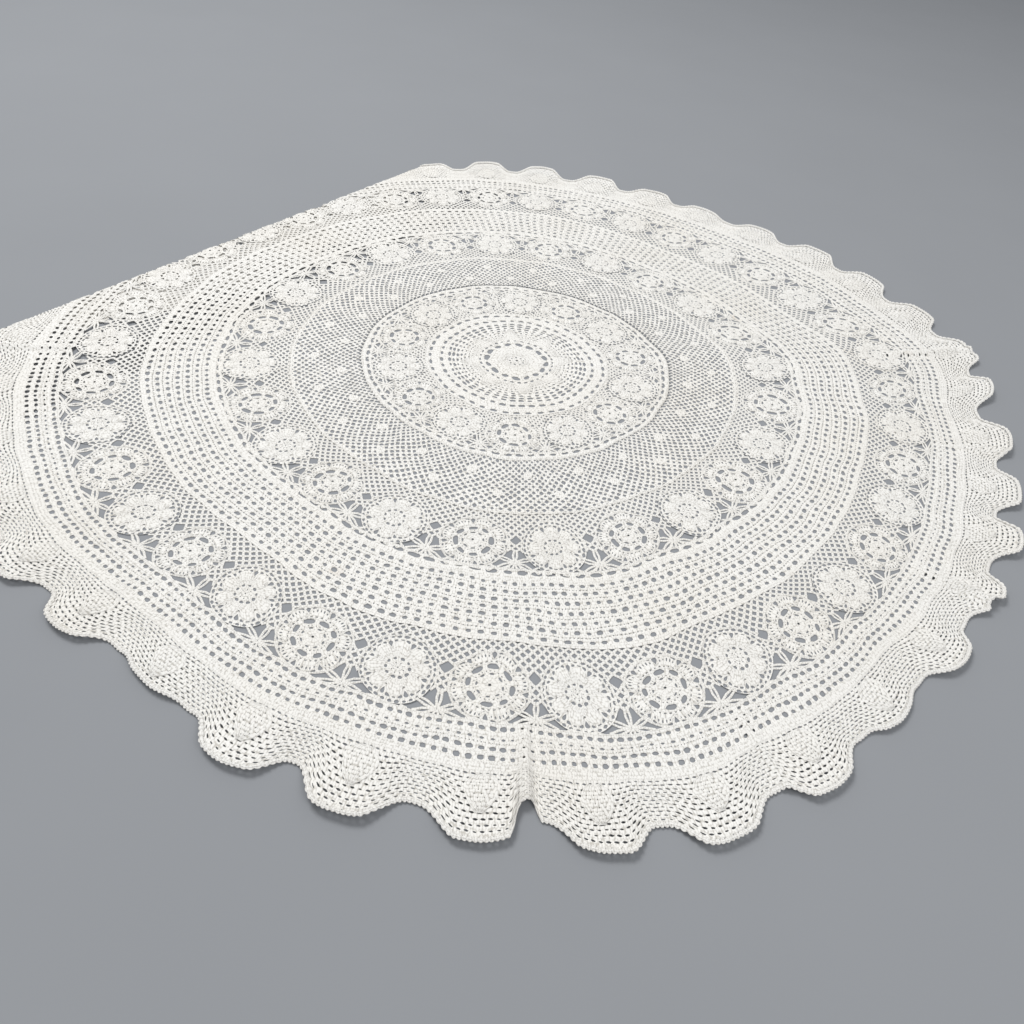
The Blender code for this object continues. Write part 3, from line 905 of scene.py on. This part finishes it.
def draw_filet_net():
    """Seven rows of square holes with close-worked rows between them."""
    lace = Lace()
    rows, between = 7, 0.0084
    start, end = MIDDLE_MOTIFS_EDGE + 0.0045, FILET_NET_EDGE - 0.0045
    step = (end - start + between) / rows
    dense = 3 * FILET_COLUMNS
    add_ring(lace, MIDDLE_MOTIFS_EDGE, start, dense, 1, post(), first=FIRST_SCALLOP)
    for row in range(rows):
        inner = start + row * step
        middle = inner + step - between
        first = FIRST_SCALLOP + row * FILET_LEAN
        add_ring(lace, inner, middle, FILET_COLUMNS, 1, hole(0.48, 0.74, 2.2), first=first)
        if row < rows - 1:
            add_ring(lace, middle, inner + step, dense, 1, pin_hole(0.34, 0.30, outline=NARROW),
                     first=first)
    add_ring(lace, end, FILET_NET_EDGE, dense, 1, post(), first=FIRST_SCALLOP)
    ring_cord(lace, (MIDDLE_MOTIFS_EDGE + 0.001) * BAND_RADIUS, 456, 0.0034)
    ring_cord(lace, (FILET_NET_EDGE - 0.001) * BAND_RADIUS, 456, 0.0034)
    return lace


def draw_outer_motifs():
    """Thirty-eight motifs in a net, with spiders and large gaps at the joins."""
    lace = Lace()
    radius = 0.0615 * BAND_RADIUS

    def is_open(share, aside):
        near_spider = (share > OUTER_CLEAR_FROM) & (aside < OUTER_CLEAR)
        return near_spider | (np.hypot(share - OUTER_GAP, aside) < OUTER_GAP_REACH)

    add_ring(lace, FILET_NET_EDGE, 0.7915, 684, 1, post(), first=FIRST_SCALLOP)
    centres = add_motifs(lace, 0.8745, SCALLOPS, FIRST_SCALLOP, radius)
    add_filling(lace, 0.7900, 0.9360, 8 * SCALLOPS, 19, FIRST_SCALLOP, centres, radius, is_open)
    lace.add_copies(draw_join(OUTER_CHAINS), *around(OUTER_SPIDER, SCALLOPS, FIRST_SCALLOP + PITCH / 2.0))
    ring_cord(lace, (OUTER_MOTIFS_EDGE - 0.0012) * BAND_RADIUS, 570, 0.0034)
    return lace


PINCH = 0.50                 # how far holes close in a crease of the next height or more
PINCH_HEIGHT = 0.008


def pinched(place):
    """Holes close where the cloth is drawn up into a crease: a factor for their size."""
    def size(column, row):
        x, y = place(column, row)
        radius, azimuth = np.hypot(x, y), np.arctan2(y, x)
        x, y = spread(radius, azimuth)
        factor = np.ones_like(x)
        for centre, start, _full, half_width, height, _pull in CREASES:
            along, across = from_crease(x, y, centre)
            near = smooth(1.6 - across / half_width) * (along > start * BAND_RADIUS)
            factor -= PINCH * near * min(height / PINCH_HEIGHT, 1.0)
        return factor
    return size


def draw_border():
    """Rows of ovals, squares and close stitches, and the solid band."""
    lace = Lace()
    single, triple = BORDER_COLUMNS, 3 * BORDER_COLUMNS
    for inner, outer, columns, stitch in (
        (OUTER_MOTIFS_EDGE, 0.9500, single, hole(0.64, 0.56)),
        (0.9500, 0.9555, triple, post()),
        (0.9555, 0.9620, single, pin_hole(0.40, 0.60, 1.5, WIDE)),
        (0.9620, 0.9680, triple, pin_hole(0.30, 0.30, outline=NARROW)),
        (0.9680, 0.9790, single, hole(0.64, 0.58, 1.8)),
        (0.9790, 0.9825, triple, post()),
        (0.9825, 0.9940, single, hole(0.50, 0.60, 3.5)),
        (0.9940, 0.9990, triple, post()),
        (0.9990, 1.0045, triple, post()),
        (1.0045, BORDER_EDGE, triple, post()),
    ):
        place = polar(inner, outer, columns, 1, FIRST_SCALLOP)
        add_ring(lace, inner, outer, columns, 1, stitch, first=FIRST_SCALLOP, sizes=pinched(place))
    for share in (0.9810, 0.9955, 1.0080):
        ring_cord(lace, share * BAND_RADIUS, 760, 0.0028)
    return lace


def ruffle_place(column, row):
    """The ruffle's grid: its rows run from the band to the scalloped rim."""
    azimuth = FIRST_SCALLOP + column * TAU / RUFFLE_COLUMNS
    start = BORDER_EDGE * BAND_RADIUS
    return on_circle(start + (rim_radius(azimuth) - start) * row / RUFFLE_ROWS, azimuth)


# An acorn's ends and half of its width, as shares, and how much of its scallop's lean it takes
ACORN_TOP = 1.014
ACORN_TIP = 1.075
ACORN_HALF = 0.0265
ACORN_LEAN = 0.6


def acorn_half(along):
    """Half of an acorn's width, at a share of the way from its top to its tip."""
    top_side = (0.35 - along) ** 2 * 6.5
    tip_side = np.clip((along - 0.35) / 0.65, 0.0, 1.0) ** 1.6
    wide = 1.0 - np.where(along < 0.35, top_side, tip_side)
    return ACORN_HALF * np.maximum(wide, 0.06) ** 0.6


def is_beside_acorns(leans):
    """Whether a place of the ruffle's grid is clear of the acorns' middles."""
    def keep(column, row):
        x, y = ruffle_place(column, row)
        share = np.hypot(x, y) / BAND_RADIUS
        along = (share - ACORN_TOP) / (ACORN_TIP - ACORN_TOP)
        place = (np.arctan2(y, x) - FIRST_SCALLOP) / PITCH
        number = np.round(place)
        lean = leans[number.astype(int) % SCALLOPS]
        aside = np.abs(place - number - ACORN_LEAN * lean * along) * PITCH * share
        return (along < 0.10) | (along > 0.80) | (aside > 0.72 * acorn_half(along))
    return keep


def add_acorn(lace, number, lean):
    """A solid egg of close stitches with its point towards the rim."""
    columns, rows = 9, 10

    def place(column, row):
        along = row / rows
        share = ACORN_TOP + (ACORN_TIP - ACORN_TOP) * along
        aside = acorn_half(along) * (column / columns * 2.0 - 1.0)
        azimuth = FIRST_SCALLOP + (number + ACORN_LEAN * lean * along) * PITCH + aside / share
        return on_circle(share * BAND_RADIUS, azimuth)

    def dome(column, row):
        across = np.sin(np.clip(column / columns, 0.0, 1.0) * math.pi)
        return 0.0002 + 0.0014 * across * np.sin(np.clip(row / rows, 0.0, 1.0) * math.pi)

    def is_plain(column, row):
        odd = (np.floor(row) + np.floor(column)) % 2 == 1
        inside = (row > 1.0) & (row < rows - 1.0) & (np.abs(column - columns / 2.0) < 3.7)
        return ~(odd & inside)

    def is_pricked(column, row):
        return ~is_plain(column, row)

    for stitch, keep in ((post(RAISED), is_plain), (pin_hole(0.25, 0.34), is_pricked)):
        lace.add_cells(place, columns, rows, stitch, grain=(0.0040, 0.0046), lift=dome, keep=keep)


def draw_ruffle():
    """A brick-like mesh in waves, with a solid acorn in every scallop."""
    lace = Lace()
    mesh = pin_hole(0.62, 0.33)
    mesh.inside[:, 0] += 0.35 * mesh.inside[:, 1]
    leans = np.zeros(SCALLOPS)
    for number, _reach, lean, _lift in UNLIKE_SCALLOPS:
        leans[number % SCALLOPS] = lean
    lace.add_cells(ruffle_place, RUFFLE_COLUMNS, RUFFLE_ROWS, mesh, stagger=0.5, grain=(0.0082, 0.0051),
                   sizes=pinched(ruffle_place), keep=is_beside_acorns(leans))
    for number in range(SCALLOPS):
        add_acorn(lace, number, leans[number])
    return lace


def draw_rim():
    """The corded edge of the ruffle: a row of round beads of yarn."""
    lace = Lace()
    beads, stations, sides, size = 25 * SCALLOPS, 3, 6, 0.0033
    count = beads * stations
    azimuth = FIRST_SCALLOP + np.arange(count + 1) * TAU / count
    radius = rim_radius(azimuth) - 0.001
    path = np.stack(on_circle(radius, azimuth), -1)
    along = np.gradient(path, axis=0)
    along /= np.linalg.norm(along, axis=1, keepdims=True)
    along[-1] = along[0]
    side = np.stack((-along[:, 1], along[:, 0]), -1)
    thick = size * np.where(np.arange(count + 1) % stations == 0, 0.55, 1.0)
    turn = np.arange(sides + 1) * TAU / sides
    places = path[:, None] + side[:, None] * (np.cos(turn)[:, None] * thick[:, None, None])
    height = size * 0.75 + 0.75 * np.sin(turn) * thick[:, None]
    length = np.broadcast_to(np.arange(count + 1)[:, None] * 0.002, height.shape)
    around_yarn = np.broadcast_to(turn * size, height.shape)
    corners = np.concatenate((places, np.stack((height, around_yarn, length), -1)), -1)
    lace.add(np.stack((corners[:-1, :-1], corners[1:, :-1], corners[1:, 1:], corners[:-1, 1:]), 2), "cords")
    return lace


# ---- floor, light and camera -------------------
FLOOR_COLOUR = (0.265, 0.274, 0.288, 1.0)


def make_floor():
    """A plain pale floor, faintly mottled."""
    mesh = bpy.data.meshes.new("floor")
    size = 12.0
    corners = [(-size, -size, 0), (size, -size, 0), (size, size, 0), (-size, size, 0)]
    mesh.from_pydata(corners, [], [(0, 1, 2, 3)])
    floor = add_object("floor", mesh)
    material = bpy.data.materials.new("pale_floor")
    material.use_nodes = True
    tree = material.node_tree
    shader = tree.nodes["Principled BSDF"]
    places = add_node(tree, "ShaderNodeTexCoord").outputs["Object"]
    lighter = tuple(value * 1.06 for value in FLOOR_COLOUR[:3]) + (1.0,)
    colour = mixed(tree, noise(tree, places, 3.0, 4.0), FLOOR_COLOUR, lighter)
    tree.links.new(colour, shader.inputs["Base Color"])
    shader.inputs["Roughness"].default_value = 0.9
    shader.inputs["Specular IOR Level"].default_value = 0.1
    mesh.materials.append(material)


def add_area_light(name, place, size, power):
    """A square soft light that looks at the middle of the cloth."""
    light = bpy.data.lights.new(name, "AREA")
    light.shape = "SQUARE"
    light.size = size
    light.energy = power
    lamp = add_object(name, light)
    lamp.location = place
    lamp.rotation_euler = (-Vector(place)).to_track_quat("-Z", "Y").to_euler()


def make_light():
    """A key light from the back left, a weaker one from the front right, and a pale sky."""
    add_area_light("key", (-2.0, 1.6, 4.5), 1.9, 172.0)
    add_area_light("fill", (2.4, -2.4, 3.6), 2.5, 56.0)
    world = bpy.data.worlds.new("pale_sky")
    world.use_nodes = True
    world.node_tree.nodes["Background"].inputs["Color"].default_value = (0.95, 0.97, 1.0, 1.0)
    world.node_tree.nodes["Background"].inputs["Strength"].default_value = 0.53
    bpy.context.scene.world = world
    bpy.context.scene.view_settings.view_transform = "Standard"


# Matched with the photograph. Angles are in radians.
CAMERA_PLACE = Vector((0.0, -1.20423, 0.79825))
CAMERA_YAW = 0.02257
CAMERA_PITCH = 0.76766
CAMERA_ROLL = 0.13496
LENS = 28.58


def make_camera():
    """Looking down over the near edge, slightly rolled, as in the photograph."""
    ahead = Vector((math.sin(CAMERA_YAW) * math.cos(CAMERA_PITCH),
                    math.cos(CAMERA_YAW) * math.cos(CAMERA_PITCH), -math.sin(CAMERA_PITCH)))
    level = ahead.cross(Vector((0.0, 0.0, 1.0))).normalized()
    upright = level.cross(ahead)
    right = level * math.cos(CAMERA_ROLL) + upright * math.sin(CAMERA_ROLL)
    up = upright * math.cos(CAMERA_ROLL) - level * math.sin(CAMERA_ROLL)
    lens = bpy.data.cameras.new("camera")
    lens.lens = LENS
    lens.sensor_width = 36.0
    lens.clip_start = 0.01
    camera = add_object("camera", lens)
    turn = Matrix((right, up, -ahead)).transposed().to_4x4()
    camera.matrix_world = Matrix.Translation(CAMERA_PLACE) @ turn
    bpy.context.scene.camera = camera


# ---- the cloth ---------------------------------
def main():
    make_camera()
    make_light()
    make_floor()
    worked = make_cotton("cotton_stitches", 0.0030, 0.0044, 0.0007, 0.55)
    chained = make_cotton("cotton_chains", 0.0026, 0.0030, 0.0006, 0.35)
    sections = (
        ("centre_medallion", draw_medallion, 0.0, MEDALLION_EDGE),
        ("inner_motif_ring", draw_inner_motifs, MEDALLION_EDGE, INNER_MOTIFS_EDGE),
        ("spotted_net", draw_spotted_net, INNER_MOTIFS_EDGE, SPOTTED_NET_EDGE),
        ("middle_motif_ring", draw_middle_motifs, SPOTTED_NET_EDGE, MIDDLE_MOTIFS_EDGE),
        ("filet_net", draw_filet_net, MIDDLE_MOTIFS_EDGE, FILET_NET_EDGE),
        ("outer_motif_ring", draw_outer_motifs, FILET_NET_EDGE, OUTER_MOTIFS_EDGE),
        ("openwork_border", draw_border, OUTER_MOTIFS_EDGE, BORDER_EDGE),
        ("ruffled_edging", draw_ruffle, BORDER_EDGE, RUFFLE_EDGE),
    )
    rim = draw_rim().build("ruffle_rim_cord", (worked, chained))
    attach(rim, "root")
    for node, draw, inner, outer in sections:
        piece = draw().build(node + "_lace", (worked, chained))
        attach(piece, "root")
        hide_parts(node)
        area = piece.pop("cotton_area")


main()
